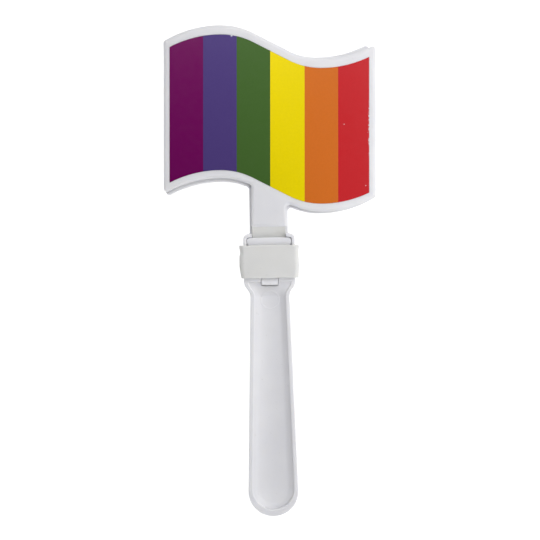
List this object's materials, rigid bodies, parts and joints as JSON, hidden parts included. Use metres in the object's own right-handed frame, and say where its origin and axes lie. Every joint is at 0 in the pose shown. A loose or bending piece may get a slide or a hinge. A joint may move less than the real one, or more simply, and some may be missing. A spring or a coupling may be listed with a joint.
{
  "type": "flag hand clapper",
  "caption": "Flag-shaped hand clapper: a troughed grip with a fixed middle leaf, and waving leaves hinged in front of it and behind it that clap when it is shaken.",
  "frame": {"origin": "on the floor under the middle of the outline, with the clapper lying on its back; X is 0 on the flag's middle line, 0.4 mm to the right of the grip's", "axes": "+X to the right as seen from the front, +Y along the grip towards the flag, +Z out of the front leaf"},
  "size_m": [0.1074, 0.2466, 0.018],
  "materials": {
    "white_plastic": "satin moulded",
    "band_plastic": "soft satin",
    "printed_film": "semi-gloss print in upright stripes"
  },
  "bodies": {
    "handle": {"handle": "white_plastic", "band": "band_plastic"},
    "front_leaf": {"front_leaf": "white_plastic", "front_sticker": "printed_film"},
    "rear_leaf": {"rear_leaf": "white_plastic"}
  },
  "joints": [
    {"name": "front_swing", "type": "hinge", "parent": "handle", "child": "front_leaf", "pos_m": [-0.0004, 0.0141, 0.0132], "axis": [1, 0, 0], "range_deg": [0, 13]},
    {"name": "rear_swing", "type": "hinge", "parent": "handle", "child": "rear_leaf", "pos_m": [-0.0004, 0.0141, 0.0048], "axis": [-1, 0, 0], "range_deg": [0, 13]}
  ]
}
